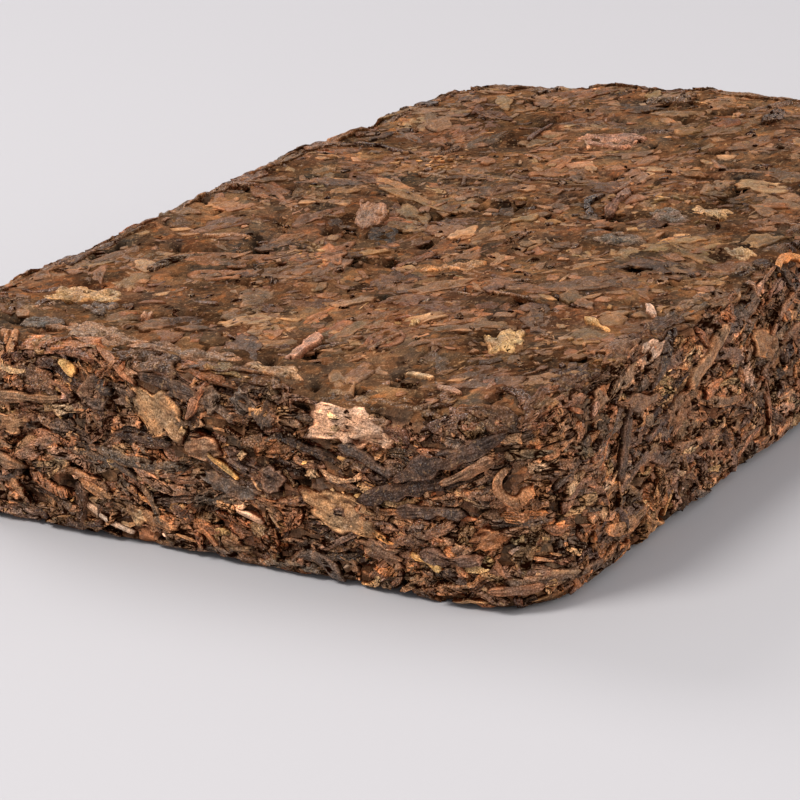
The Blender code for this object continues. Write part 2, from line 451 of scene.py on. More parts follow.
KINDS = (
    Kind(
        "top_flakes", 420, (6.0, 16.0), (3.4, 7.6), (11, 9), regions=(1.4, 0.0, 0.9), camber=(-0.02, 0.03),
        furrows=(1.0, 3.0), furrow_depth=0.06, crumple=0.13, lift=(-0.22, -0.02), tilt=0.014, stiff=0.1,
        drop=0.05, skirt=0.3, ragged=0.26, own_on_flat=0.85,
    ),
    Kind(
        "top_shards", 1300, (1.6, 5.2), (1.0, 2.8), (5, 4), regions=(1.2, 0.0, 0.7), camber=(-0.04, 0.1),
        crumple=0.11, lift=(-0.2, 0.03), tilt=0.035, stiff=0.15, drop=0.05, skirt=0.3, ragged=0.24,
        spread=0.6, own_on_flat=0.65,
    ),
    Kind(
        "lifted_flakes", 70, (4.0, 9.0), (2.4, 5.0), (9, 8), regions=(1.0, 0.0, 0.2), camber=(-0.05, 0.12),
        furrows=(0.5, 1.6), furrow_depth=0.08, crumple=0.14, lift=(0.02, 0.2), tilt=0.07, stiff=0.5,
        drop=0.1, skirt=0.5, ragged=0.16, own_on_flat=0.9,
    ),
    Kind(
        "rim_sheets", 120, (6.0, 15.0), (2.2, 5.0), (14, 9), rim=True, mix=RIM_MIX, camber=(-0.03, 0.06),
        furrows=(1.8, 3.4), furrow_depth=0.15, crumple=0.22, lift=(-0.06, 0.12), tilt=0.015, stiff=0.95,
        drop=0.1, skirt=0.5, spread=0.16, spacing=0.3, ragged=0.3, own_on_flat=0.8,
        material="whole_leaf",
    ),
    Kind(
        "wall_flakes", 300, (4.5, 10.0), (2.6, 5.2), (11, 9), camber=(-0.1, 0.15),
        furrows=(0.8, 2.4), furrow_depth=0.18, crumple=0.24, lift=(-0.18, 0.14), tilt=0.07, stiff=0.2,
        drop=0.26, ragged=0.13, **BROKEN,
    ),
    Kind(
        "strata", 1480, (2.6, 9.0), (1.0, 2.2), (9, 5), ribbon=True, mix=WALL_MIX, camber=(0.0, 0.2),
        crumple=0.2, bend=0.45, hooked=0.08, lift=(-0.28, 0.12), tilt=0.26,
        bluntness=(5.0, 16.0), drop=0.28, ragged=0.24, spread=0.18, **BROKEN,
    ),
    Kind(
        "wall_shards", 900, (2.0, 5.0), (1.3, 3.0), (7, 6), camber=(-0.15, 0.3),
        furrows=(0.3, 1.4), furrow_depth=0.14, crumple=0.22, lift=(-0.3, 0.16), tilt=0.13, drop=0.26,
        ragged=0.1, **BROKEN,
    ),
    Kind(
        "chips", 1500, (0.9, 2.6), (0.6, 1.6), (4, 4), regions=(0.9, 1.0, 0.4), camber=(-0.2, 0.15),
        crumple=0.16, lift=(-0.26, 0.14), tilt=0.2, spread=0.9, material="broken_leaf",
        clustered=2.0, ragged=0.2,
    ),
    Kind(
        "folded_leaves", 330, (5.0, 11.0), (1.8, 3.8), (12, 11), regions=(0.05, 2.0, 0.05),
        furrows=(1.6, 3.2), furrow_depth=0.28, twist=0.9, lift=(-0.14, 0.2), bend=0.45,
        bluntness=(3.0, 7.0), drop=0.28, ragged=0.18, spread=0.28, **ROLLED,
    ),
    Kind(
        "long_leaves", 400, (7.0, 18.0), (1.2, 2.4), (14, 6), regions=(0.02, 2.0, 0.02), body=0.14,
        furrows=(0.8, 1.8), furrow_depth=0.17, twist=1.4, bend=0.4, lift=(-0.24, 0.2),
        bluntness=(4.0, 9.0), spread=0.2, drop=0.3, ragged=0.15, **ROLLED,
    ),
    Kind(
        "stalks", 110, (4.0, 10.0), (0.6, 1.1), (8, 7), ribbon=True, mix=STALK_MIX, wall_mix=STALK_MIX,
        body=0.36, camber=(0.0, 0.0), furrows=(2.0, 3.0), furrow_depth=0.05, crumple=0.04, bend=0.15,
        lift=(-0.36, 0.06), bluntness=(9.0, 14.0), ragged=0.04, spread=0.7, spacing=0.5, material="stalk",
    ),
    Kind(
        "golden_tips", 300, (1.6, 4.4), (0.4, 0.8), (6, 5), ribbon=True, mix=TIP_MIX, wall_mix=TIP_MIX,
        body=0.14, camber=(0.0, 0.0), furrows=(1.0, 2.0), furrow_depth=0.06, bend=0.2, lift=(-0.2, 0.14),
        bluntness=(1.8, 3.0), spacing=0.5, material="stalk", regions=(1.2, 1.6, 0.5), clustered=2.0,
    ),
    Kind(
        "golden_crumbs", 420, (0.7, 2.4), (0.5, 1.1), (4, 4), gathered=GOLDEN_PATCHES, mix=GOLDEN_MIX,
        wall_mix=GOLDEN_MIX, camber=(-0.1, 0.3), crumple=0.14, lift=(-0.14, 0.2), tilt=0.25, ragged=0.3,
        spread=3.0, skirt=0.3, spacing=0.2, own_colour=1.0,
    ),
    Kind(
        "crumbs", 2300, (0.4, 1.2), (0.3, 0.8), (3, 3), regions=(1.2, 1.2, 0.2), mix=CRUMB_MIX,
        wall_mix=CRUMB_MIX, camber=(0.2, 0.5), crumple=0.08, lift=(-0.14, 0.14), tilt=0.3, ragged=0.3,
        spread=3.0, skirt=0.25, spacing=0.3, clustered=3.0, own_colour=0.95,
    ),
)


class Noted:
    """A leaf that catches the eye: its place, its size in millimetres and its turn in degrees."""

    def __init__(self, place, length, width, turn, tint, curl=0.0):
        self.place, self.length, self.width = place, length, width
        self.turn, self.tint, self.curl = math.radians(turn), tint, curl


class NotedKind(Kind):
    """A kind whose fragments are placed one by one."""

    def __init__(self, name, leaves, grid, **traits):
        lengths = np.array([leaf.length for leaf in leaves])
        widths = np.array([leaf.width for leaf in leaves])
        super().__init__(name, len(leaves), (lengths, lengths), (widths, widths), grid, **traits)
        self.leaves = leaves
        self.curls = np.array([leaf.curl for leaf in leaves])


NOTED_FLAKES = (
    Noted(on_end(-23.5, 21.0), 17.0, 6.8, -4, (0.64, 0.38, 0.24)),
    Noted(on_end(5.6, 18.4), 13.0, 7.6, -30, (0.4, 0.215, 0.1)),
    Noted(on_end(15.6, 20.2), 6.8, 6.6, 10, (0.085, 0.058, 0.044)),
    Noted(on_end(-20.5, 9.6), 13.0, 5.4, -14, (0.42, 0.232, 0.11)),
    Noted(on_end(-3.6, 10.8), 11.0, 3.2, -10, (0.11, 0.08, 0.062)),
    Noted(on_end(-2.8, 21.6), 4.6, 3.6, 25, (0.15, 0.105, 0.075)),
    Noted(on_end(-7.0, 21.8), 4.2, 3.6, -35, (0.12, 0.09, 0.07)),
    Noted(on_end(-10.4, 20.6), 3.6, 3.0, 60, (0.095, 0.066, 0.05)),
    Noted(on_end(-1.0, 15.6), 7.0, 3.6, 12, (0.33, 0.17, 0.09)),
    Noted(on_end(-11.0, 12.6), 5.0, 3.8, -20, (0.17, 0.095, 0.062)),
    Noted(on_end(-26.0, 5.6), 7.5, 3.4, -8, (0.2, 0.105, 0.06)),
    Noted(on_end(11.4, 4.2), 6.4, 2.8, -14, TAN),
    Noted(on_end(-40.5, 9.4), 6.0, 4.0, 18, RUSSET),
    Noted(on_end(30.0, 14.0), 9.0, 3.6, 6, (0.3, 0.155, 0.075)),
    Noted(on_end(38.0, 20.0), 7.0, 3.8, -5, (0.14, 0.1, 0.078)),
    Noted(on_side(-41.5, 23.8), 9.5, 3.2, 14, (0.64, 0.4, 0.27)),
    Noted(on_side(-54.5, 22.0), 4.0, 6.0, 0, (0.3, 0.16, 0.085)),
    Noted(on_side(-36.0, 14.0), 8.0, 5.0, 30, (0.25, 0.12, 0.06)),
    Noted(on_side(-12.0, 15.0), 10.0, 6.0, -20, (0.3, 0.15, 0.07)),
    Noted(on_top(-50.5, 33.0), 17.0, 7.0, 84, (0.48, 0.275, 0.115)),
    Noted(on_top(-4.5, 18.2), 14.0, 5.4, 26, (0.25, 0.125, 0.068)),
    Noted(on_top(-63.0, 29.0), 7.0, 6.0, 100, (0.09, 0.07, 0.052)),
    Noted(on_top(-21.5, -6.5), 9.0, 3.6, -43, (0.48, 0.235, 0.095)),
    Noted(on_top(-3.7, -40.0), 7.0, 4.0, 60, (0.43, 0.27, 0.13)),
    Noted(on_top(42.0, 3.0), 14.0, 8.0, -88, (0.31, 0.145, 0.085)),
    Noted(on_top(8.9, -23.1), 8.0, 5.0, 80, (0.105, 0.08, 0.058)),
    Noted(on_top(-55.2, 18.6), 2.6, 1.8, 30, (0.56, 0.31, 0.19)),
    Noted(on_top(-47.1, -28.2), 2.8, 1.8, 70, (0.52, 0.34, 0.14)),
    Noted(on_top(-44.4, -15.3), 2.6, 1.6, 20, (0.52, 0.33, 0.15)),
    Noted(on_top(-64.0, 20.0), 18.0, 6.0, 84, (0.24, 0.13, 0.068)),
    Noted(on_top(-65.0, 4.0), 15.0, 5.0, 95, (0.215, 0.115, 0.062)),
    Noted(on_top(-66.0, -9.0), 11.0, 4.0, 88, (0.37, 0.21, 0.105)),
    Noted(on_top(-55.0, 27.0), 9.0, 5.0, 60, (0.11, 0.07, 0.046)),
    Noted(on_top(-4.0, -22.0), 9.0, 6.0, 120, (0.12, 0.088, 0.062)),
    Noted(on_top(-47.0, -30.0), 9.0, 6.0, 40, (0.42, 0.265, 0.11)),
    Noted(on_top(12.0, -28.0), 9.0, 4.0, 75, (0.48, 0.29, 0.13)),
)
NOTED_STRIPS = (
    Noted(on_end(12.4, 24.2), 8.0, 1.4, -36, (0.4, 0.18, 0.09)),
    Noted(on_end(-0.6, 21.2), 6.2, 1.7, 58, (0.33, 0.15, 0.08)),
    Noted(on_end(3.6, 22.6), 10.0, 2.2, -7, (0.075, 0.044, 0.03)),
    Noted(on_end(-36.5, 19.0), 19.0, 2.6, 25, (0.064, 0.038, 0.027)),
    Noted(on_end(-31.5, 14.6), 18.0, 2.2, 18, (0.054, 0.031, 0.022)),
    Noted(on_end(-38.6, 17.6), 8.5, 1.8, 26, (0.26, 0.135, 0.075)),
    Noted(on_end(-33.0, 11.8), 10.0, 2.4, 8, (0.09, 0.055, 0.04)),
    Noted(on_end(-16.4, 17.4), 9.5, 1.5, -16, (0.03, 0.018, 0.013)),
    Noted(on_end(-25.0, 17.0), 8.0, 2.0, -20, (0.095, 0.062, 0.046)),
    Noted(on_end(-36.0, 6.6), 9.0, 2.2, 6, (0.15, 0.08, 0.052)),
    Noted(on_end(-44.0, 3.0), 7.0, 2.0, 2, (0.26, 0.125, 0.07)),
    Noted(on_end(26.0, 18.0), 12.0, 1.8, 4, (0.26, 0.135, 0.068)),
    Noted(on_end(34.0, 9.0), 13.0, 1.8, -4, (0.22, 0.115, 0.06)),
    Noted(on_side(-50.0, 15.0), 9.0, 2.6, 80, (0.09, 0.056, 0.04)),
    Noted(on_side(-46.0, 19.0), 10.0, 2.2, -12, (0.2, 0.105, 0.06)),
    Noted(on_side(-28.0, 19.0), 12.0, 2.6, 24, (0.33, 0.17, 0.085)),
    Noted(on_top(11.5, -13.4), 12.0, 1.8, 12, (0.18, 0.085, 0.05)),
)
NOTED_SLIVERS = (
    Noted(on_end(-44.3, 15.6), 9.0, 2.0, -52, (0.4, 0.18, 0.08), curl=2.15),
    Noted(on_end(-4.0, 13.4), 5.0, 0.9, -38, GOLD),
    Noted(on_end(-32.4, 5.6), 4.6, 1.3, -14, GOLD),
    Noted(on_end(19.4, 22.8), 3.0, 1.7, -30, GOLD),
    Noted(on_end(-37.5, 0.9), 5.0, 0.5, 4, TAN),
    Noted(on_end(-26.0, 7.6), 6.0, 1.0, -16, (0.56, 0.24, 0.08)),
    Noted(on_side(-3.0, 24.2), 9.5, 1.5, 4, (0.64, 0.25, 0.08), curl=-0.9),
    Noted(on_top(-56.6, -7.0), 11.0, 2.4, 18, (0.42, 0.2, 0.12)),
    Noted(on_top(-60.0, -26.0), 5.0, 1.2, 80, TAN, curl=0.5),
    Noted(on_top(-38.0, -38.0), 6.0, 1.2, 60, GOLD),
    Noted(on_top(-30.0, -41.0), 5.0, 1.4, 40, PINKISH),
)
NOTED_KINDS = (
    NotedKind(
        "noted_flakes", NOTED_FLAKES, (24, 16), camber=(-0.02, 0.08), furrows=(0.5, 1.6), furrow_depth=0.12,
        crumple=0.26, lift=(0.06, 0.16), tilt=0.01, drop=0.26, ragged=0.25, patchy=0.55,
        material="whole_leaf",
    ),
    NotedKind(
        "noted_strips", NOTED_STRIPS, (26, 11), ribbon=True, body=0.18, camber=(0.0, 0.1),
        furrows=(1.2, 2.2), furrow_depth=0.16, twist=1.0, crumple=0.14, bend=0.18, lift=(0.14, 0.24),
        bluntness=(3.0, 6.0), drop=0.3, ragged=0.2, patchy=0.2, material="whole_leaf",
    ),
    NotedKind(
        "noted_slivers", NOTED_SLIVERS, (22, 7), ribbon=True, body=0.2, camber=(0.0, 0.0),
        furrows=(0.8, 1.4), furrow_depth=0.1, crumple=0.2, bend=0.16, lift=(0.18, 0.28),
        bluntness=(5.0, 10.0), drop=0.2, ragged=0.2, patchy=0.4, material="whole_leaf",
    ),
)

PRESSED_UNDER = 0.36  # how much lower other leaves lie under a noted one
UNDER_NOTED = 0.8  # how far round a noted leaf they are pressed down
CURL_GIRTH = 0.36  # half width of the patch under a curled leaf, as a share of its length
CURL_PRESS = 1.4


def noted_share(places, noted):
    """1 where a noted leaf lies over a place, so that others are pressed under it there."""
    share = np.zeros(places.shape[:-1])
    for laid in noted:
        for leaf, middle, along in zip(laid.kind.leaves, laid.places, laid.along):
            run = 0.0 if leaf.curl else (leaf.length - leaf.width) / 2
            girth = leaf.length * CURL_GIRTH if leaf.curl else leaf.width / 2
            offset = places - middle
            passed = np.clip(offset @ along, -run, run)
            gap = np.linalg.norm(offset - passed[..., None] * along, axis=-1) - girth
            under = np.clip(1 - gap / UNDER_NOTED, 0, 1) * (CURL_PRESS if leaf.curl else 1.0)
            share = np.maximum(share, under)
    return share


def pick(rng, limits, count):
    """A random value between two limits for each fragment, ready to combine with its grid."""
    return rng.uniform(limits[0], limits[1], count)[:, None, None]


def stray(rng, spread, count):
    """A random value about 0 for each fragment, ready to combine with its grid."""
    return rng.normal(0, spread, count)[:, None, None]


def grid_lines(count):
    """Grid lines from -1 to 1, the last pair close together for a crisp edge."""
    if count < LEAST_LINES:
        return np.linspace(-1, 1, count)
    return np.concatenate([[-1.0], np.linspace(-EDGE_LINE, EDGE_LINE, count - 2), [1.0]])


def stacked(*parts):
    """Arrays side by side in a last axis of their own."""
    return np.stack(np.broadcast_arrays(*parts), axis=-1)


# A shard is a polygon whose sides turn from their even bearings and lie at uneven depths.
SHARD_SIDES = 6
SIDE_TURNS = (-0.4, 0.4)
SIDE_DEPTHS = (0.58, 1.0)
LEAST_FACING = 0.1
LONGEST_REACH = 1.2
SHARD_TEARS = 2.6  # how fine the tears round a shard are
SHARD_TEARING = 1.6

# A ribbon's width falls to nothing at its ends, and swells and narrows on the way.
GRID_END = 0.985  # where the grid ends, as a share of the way to the very tip
END_ROUNDING = 0.6
SWELLING = 0.2
SWELLING_TURNS = (0.4, 1.6)
UNEVEN_LENGTH = 1.6
UNEVENNESS = 2
END_TEARS = 1.7
END_TEARING = 2.5
HOOK_TURNS = (1.0, 1.7)  # half the turn of a hooked ribbon from end to end

WIDEST = 0.8  # the most that a fragment's width may be, as a share of its length
BODY_HALF_WIDTH = 0.5  # half width of the ribbon that is as thick as its kind's body says
FURROW_WANDER = 0.9
FURROW_CELL = (2.2, 1.6)
FURROW_SHARPNESS = 0.8
CRUMPLE_CELL = (1.7, 0.9)
CRUMPLE_FOLD = 3
FINE_CRUMPLE = 0.8
FINE_CRUMPLE_SCALE = 2.1
PITCH = 0.6  # a fragment's tilt along its length, as a share of its tilt across
OWN_STEP = 7.31  # sets each fragment's noise apart from the others'
OWN_DRIFT = 0.37


def shard_plan(kind, u, v, half_length, half_width, own, rng):
    """A torn polygon: the grid's square rings, drawn out to five or six straight sides."""
    count, sides = len(own), SHARD_SIDES
    turns = 2 * math.pi * (np.arange(sides) + rng.uniform(*SIDE_TURNS, (count, sides))) / sides
    turns += rng.uniform(0, 2 * math.pi, (count, 1))
    depths = rng.uniform(*SIDE_DEPTHS, (count, sides))
    ring = np.maximum(np.abs(u), np.abs(v))
    bearing = np.arctan2(v, u)
    facing = np.cos(bearing[..., None] - turns[:, None, None])
    reach = (depths[:, None, None] / np.maximum(facing, LEAST_FACING)).min(axis=-1)
    reach = np.minimum(reach, LONGEST_REACH)
    tears = noise(stacked(np.cos(bearing) * SHARD_TEARS, np.sin(bearing) * SHARD_TEARS, own), 21)
    reach = reach * (1 + kind.ragged * SHARD_TEARING * ring * tears)
    return ring * reach * np.cos(bearing) * half_length, ring * reach * np.sin(bearing) * half_width


def ribbon_plan(kind, u, v, half_length, half_width, own, rng):
    """A strip along a bent middle line, with torn ends and an uneven width."""
    count = len(own)
    blunt = pick(rng, kind.bluntness, count)
    outline = np.clip(1 - np.abs(u * GRID_END) ** blunt, 0, 1) ** END_ROUNDING
    uneven = noise(stacked(u * half_length / UNEVEN_LENGTH, np.sign(v), own), 22)
    swelling = np.cos(math.pi * (pick(rng, SWELLING_TURNS, count) * u + pick(rng, (0, 2), count)))
    outline = outline * (1 - SWELLING + SWELLING * swelling) * (1 + kind.ragged * UNEVENNESS * uneven)
    tears = noise(stacked(v * END_TEARS, np.sign(u), own), 23)
    torn = kind.ragged * END_TEARING * half_width * np.abs(u) ** 4 * tears

    hooked = rng.random(count) < kind.hooked
    curl = rng.choice((-1, 1), count) * rng.uniform(*HOOK_TURNS, count)
    turn = np.where(hooked, curl, rng.normal(0, kind.bend, count) + kind.curls)[:, None, None]
    heading = turn * u + stray(rng, kind.bend, count) * (u * u - 1 / 3)
    steps = np.diff(u, axis=1, prepend=u[:, :1]) * half_length
    middle_x = np.cumsum(np.cos(heading) * steps, axis=1)
    middle_y = np.cumsum(np.sin(heading) * steps, axis=1)
    middle_x -= middle_x.mean(axis=1, keepdims=True)
    middle_y -= middle_y.mean(axis=1, keepdims=True)
    off = v * half_width * outline
    x = middle_x + torn * np.cos(heading) - off * np.sin(heading)
    y = middle_y + torn * np.sin(heading) + off * np.cos(heading)
    return x, y


def shapes_of(kind, count, rng):
    """Each fragment's grid in its own plane: points, closeness to the edge, and fibre coordinates."""
    u, v = np.meshgrid(grid_lines(kind.grid[0]), grid_lines(kind.grid[1]), indexing="ij")
    u, v = np.broadcast_to(u, (count, *u.shape)), np.broadcast_to(v, (count, *v.shape))
    ring = np.maximum(np.abs(u), np.abs(v))
    own = (np.arange(count) * OWN_STEP)[:, None, None]
    half_length = pick(rng, kind.length, count) / 2
    half_width = np.minimum(pick(rng, kind.width, count) / 2, half_length * WIDEST)
    plan = ribbon_plan if kind.ribbon else shard_plan
    x, y = plan(kind, u, v, half_length, half_width, own, rng)

    z = pick(rng, kind.camber, count) * (1 - v * v) * half_width
    z = z + kind.body * np.sqrt(np.clip(1 - v * v, 0, 1)) * half_width / BODY_HALF_WIDTH
    z = z - kind.drop * (ring > EDGE_LINE + ON_LINE)
    wander = noise(stacked(x / FURROW_CELL[0], y / FURROW_CELL[1], own), 24)
    phase = math.pi * pick(rng, kind.furrows, count) * v + pick(rng, (0, 2 * math.pi), count)
    phase = phase + stray(rng, kind.twist, count) * u + FURROW_WANDER * wander
    z = z + kind.furrow_depth * (1 - 2 * np.abs(np.sin(phase)) ** FURROW_SHARPNESS)
    crease = stacked(x / CRUMPLE_CELL[0], y / CRUMPLE_CELL[1], own)
    folds = 1 - CRUMPLE_FOLD * np.abs(noise(crease, 25))
    z = z + kind.crumple * (folds + FINE_CRUMPLE * noise(crease * FINE_CRUMPLE_SCALE, 26))
    z = z + stray(rng, kind.tilt * PITCH, count) * x
    z = z + stray(rng, kind.tilt, count) * y
    grain = stacked(x + own, y + own * OWN_DRIFT)
    return stacked(x, y, z).reshape(count, -1, 3), ring.reshape(count, -1), grain.reshape(count, -1, 2)


def ring_of(grid):
    """The grid's border points in order, as indices into its flattened points."""
    rows, columns = grid
    index = np.arange(rows * columns).reshape(rows, columns)
    return np.concatenate([index[0, :-1], index[:-1, -1], index[-1, :0:-1], index[:0:-1, 0]])


def faces_of(grid):
    """Quads of a grid, and of the skirt round its border, for one fragment."""
    rows, columns = grid
    index = np.arange(rows * columns).reshape(rows, columns)
    top = stacked(index[:-1, :-1], index[1:, :-1], index[1:, 1:], index[:-1, 1:]).reshape(-1, 4)
    ring = ring_of(grid)
    hem = rows * columns + np.arange(len(ring))
    return np.concatenate([top, stacked(ring, np.roll(ring, -1), np.roll(hem, -1), hem)])


# The share of leaves that lie any way at all: on the flat faces, and more or less of it on the walls.
LOOSE_ON_FLAT = 0.45
LOOSE_ON_WALL = (0.06, 0.45)
LOOSE_CHANGE = 0.6
LOOSE_SIZE = 16.0


def headings(kind, places, ways, rng):
    """Each fragment's own axes on the skin: along it and across it."""
    count = len(ways)
    flat = np.abs(ways[:, 2]) > FLAT_FROM
    level = np.cross(np.where(flat[:, None], (0.0, 1.0, 0.0), (0.0, 0.0, 1.0)), ways)
    level /= np.linalg.norm(level, axis=1, keepdims=True)
    rise = np.cross(ways, level)
    disorder = np.clip(LOOSE_ON_WALL[0] + LOOSE_CHANGE * noise(places / LOOSE_SIZE, 38), *LOOSE_ON_WALL)
    loose = np.where(flat, LOOSE_ON_FLAT, disorder) > rng.random(count)
    angle = flow(places, ways) + rng.normal(0, kind.spread, count)
    angle = np.where(loose, rng.uniform(0, 2 * math.pi, count), angle)
    if kind.rim:
        in_from_end, in_from_side = to_walls(places)
        angle = np.where(in_from_end < in_from_side, math.pi / 2, 0) + rng.normal(0, kind.spread, count)
    if isinstance(kind, NotedKind):
        angle = np.array([leaf.turn for leaf in kind.leaves])
    angle = angle[:, None]
    along = level * np.cos(angle) + rise * np.sin(angle)
    return along, np.cross(ways, along)


def local_light(places):
    """How much darker or lighter the leaves of one place are."""
    return swells(places, LOCAL_LIGHT, 1)[..., None]


def local_brown(places):
    """The brown that the leaves of one place share: rosy, slate or straw in turn, darker and lighter."""
    brown = BATCH_BROWN
    for tint, where in LOCAL_BROWNS:
        brown = brown + (np.array(tint) - brown) * patches(places, *where)[..., None]
    return brown * local_light(places)


OTHER_TINT = 0.5  # the most that a fragment's tint takes from its second pick
LIGHT_SPREAD = 0.18
HUE_SPREAD = 0.03
LEAST_LIGHT = 0.1


def tints_of(kind, places, ways, rng):
    """A tint for each fragment: its own pick from the palette, drawn towards its neighbours' colour."""
    count = len(ways)

    def picked(mix):
        tints = np.array([tint for tint, _ in mix])
        weights = np.array([weight for _, weight in mix])
        return tints[rng.choice(len(tints), count, p=weights / weights.sum())]

    on_wall = (np.abs(ways[:, 2]) < FLAT_FROM)[:, None]
    tint = np.where(on_wall, picked(kind.wall_mix), picked(kind.mix))
    other = np.where(on_wall, picked(kind.wall_mix), picked(kind.mix))
    tint = tint + (other - tint) * rng.uniform(0, OTHER_TINT, (count, 1))
    shared = local_brown(places)
    own = np.where(on_wall, kind.own_colour, kind.own_on_flat)
    tint = shared + (tint - shared) * own
    if isinstance(kind, NotedKind):
        return np.array([leaf.tint for leaf in kind.leaves])
    top_shade = TOP_SHADE * np.clip(local_light(places), LEAST_LIGHT, None) ** LIGHT_ON_TOP
    tint = tint * np.where(on_wall, WALL_SHADE, top_shade)
    return tint * rng.lognormal(0, LIGHT_SPREAD, (count, 1)) * rng.lognormal(0, HUE_SPREAD, (count, 3))


# A stiff leaf stays flat while the skin falls off by half a millimetre, and lies down by 1.3.
GIVES_FROM = 1.6
GIVES_OVER = 0.8


class Laid:
    """A kind's fragments laid on the skin, still in millimetres."""

    def __init__(self, kind, skin, rng, noted=()):
        self.kind = kind
        placed = isinstance(kind, NotedKind)
        seats = np.array([leaf.place for leaf in kind.leaves]) if placed else skin.seats(kind, rng)
        places, ways, _, _ = skin.foot(seats)
        if not placed:
            kept = pit_share(places, ways) < 0.5
            places, ways = places[kept], ways[kept]
        self.count = len(places)
        along, across = headings(kind, places, ways, rng)
        self.places, self.along = places, along
        local, self.ring, self.grain = shapes_of(kind, self.count, rng)
        flat = places[:, None] + along[:, None] * local[..., :1] + across[:, None] * local[..., 1:2]
        local[..., 2] -= PRESSED_UNDER * noted_share(flat, noted)
        foot, self.ways, self.corners, self.weights = skin.foot(flat)
        lifted = local[..., 2] + rng.uniform(*kind.lift, self.count)[:, None]
        self.height = pressed(lifted + clump(foot, self.ways), self.ways)
        followed = foot + self.ways * self.height[..., None]
        lying = np.broadcast_to(ways[:, None], flat.shape)
        flat_height = pressed(lifted + clump(flat, lying), lying)
        stiff = flat + lying * flat_height[..., None]
        bent = np.abs(((flat - foot) * self.ways).sum(axis=2))
        share = kind.stiff * np.clip(GIVES_FROM - bent / GIVES_OVER, 0, 1)[..., None]
        self.points = followed + (stiff - followed) * share
        self.foot = foot
        self.tint = tints_of(kind, places, ways, rng)
        self.creasing = rng.random(self.count)


def levels(skin, everything):
    """The mean height of all that lies round each of the skin's points."""
    total = np.zeros(len(skin.points))
    weight = np.full(len(skin.points), TINY)
    for laid in everything:
        index = laid.corners.ravel()
        total += np.bincount(index, (laid.weights * laid.height.reshape(-1, 1)).ravel(), len(total))
        weight += np.bincount(index, laid.weights.ravel(), len(total))
    return total / weight


# A shade is what is left of red, green and blue. What ends in ON_FLAT or ON_SIDE is the share by which
# an effect is weaker on the flat faces or on the long sides.
RAISED = 0.36  # how far over or under those around it a leaf is all raised or all sunk
# a leaf raised over those around it is paler: partly wear, partly painted light
RAISED_WEAR_AND_PAINTED_LIGHT = 0.3
# a leaf sunk under those around it is darkened toward this: painted shade
SUNK_PAINTED_SHADE = np.array([0.25, 0.1, 0.055])
SUNK_SHEEN = 0.9  # how much of its sheen a sunk leaf loses
SUNK_PAINTED_SHADE_ON_FLAT = 0.65
SUNK_PAINTED_SHADE_ON_SIDE = 0.6
MOTTLE = ((1.3, 0.22, 31), (0.6, 0.16, 32))
STAIN_SIZE = 2.4
STAIN_LEVEL = 0.4
STAIN_CONTRAST = 1.4
WEAR_AND_HIGHLIGHT_PATCHES = (1.7, 0.4, 1.0, 34)  # the patches where the brinks of the leaves are worn and carry a painted highlight
WEAR_AND_HIGHLIGHT_GAIN = np.array([1.55, 1.27, 1.02])  # how much paler, in red, green and blue, wear and the painted highlight make them
WEAR_AND_HIGHLIGHT_ON_FLAT = 0.5
# painted shade: the torn edge is darkened toward this, for the shade of the gap beside it
OUTLINE_PAINTED_SHADE = np.array([0.18, 0.085, 0.05])
TORN_SHEEN = 0.2
OUTLINE_PAINTED_SHADE_ON_FLAT = 0.8
OUTLINE_PAINTED_SHADE_ON_SIDE = 0.4
# painted shade: the skirt, down in the gap under a fragment's edge, is darkened toward this
SKIRT_PAINTED_SHADE = np.array([0.2, 0.085, 0.045])
SKIRT_PAINTED_SHADE_ON_FLAT = 0.6
SKIRT_GRAIN = 0.3  # how far the fibres of a skirt are from those of its edge


def coloured(laid, level):
    """Each point's colour and sheen: pale and rusty where it stands out, partly wear and partly painted
    light, and near black where it is buried, which is painted shade.
    """
    around = (level[laid.corners] * laid.weights).sum(axis=1).reshape(laid.height.shape)
    relief = (laid.height - around) / RAISED
    raised, sunk = np.clip(relief, 0, 1)[..., None], np.clip(-relief, 0, 1)[..., None]
    flat, side = flatness(laid.ways)[..., None], np.abs(laid.ways[..., 1:2])
    stain = STAIN_LEVEL + STAIN_CONTRAST * fractal(laid.foot / STAIN_SIZE, 37)
    stained = laid.kind.patchy * np.clip(stain, 0, 1)[..., None]
    colour = laid.tint[:, None] + (BATCH_BROWN - laid.tint[:, None]) * stained
    colour = colour * swells(laid.foot, MOTTLE, 1)[..., None]
    # painted light on raised leaves and painted shade on sunk ones, the shade weaker on the flat faces and
    # long sides
    painted_shade_weakening = np.maximum(SUNK_PAINTED_SHADE_ON_FLAT * flat, SUNK_PAINTED_SHADE_ON_SIDE * side)
    colour = colour * (1 + RAISED_WEAR_AND_PAINTED_LIGHT * raised) * SUNK_PAINTED_SHADE ** (sunk * (1 - painted_shade_weakening))
    brink = (np.abs(laid.ring - EDGE_LINE) < ON_LINE)[..., None]
    edge = ((laid.ring > EDGE_LINE + ON_LINE) & (min(laid.kind.grid) >= LEAST_LINES))[..., None]
    # the brink is lightened: partly wear, partly a painted highlight
    wear_and_highlight = patches(laid.foot, *WEAR_AND_HIGHLIGHT_PATCHES)[..., None] * WEAR_AND_HIGHLIGHT_GAIN * (1 - WEAR_AND_HIGHLIGHT_ON_FLAT * flat)
    colour = colour * np.where(brink, 1 + wear_and_highlight, 1.0)
    # painted shade along each fragment's torn edge, weaker on the flat faces and long sides
    torn = edge * (1 - np.maximum(OUTLINE_PAINTED_SHADE_ON_FLAT * flat, OUTLINE_PAINTED_SHADE_ON_SIDE * side))
    sheen = (1 - SUNK_SHEEN * sunk) * np.where(edge, TORN_SHEEN, 1.0)
    return colour * OUTLINE_PAINTED_SHADE**torn, sheen


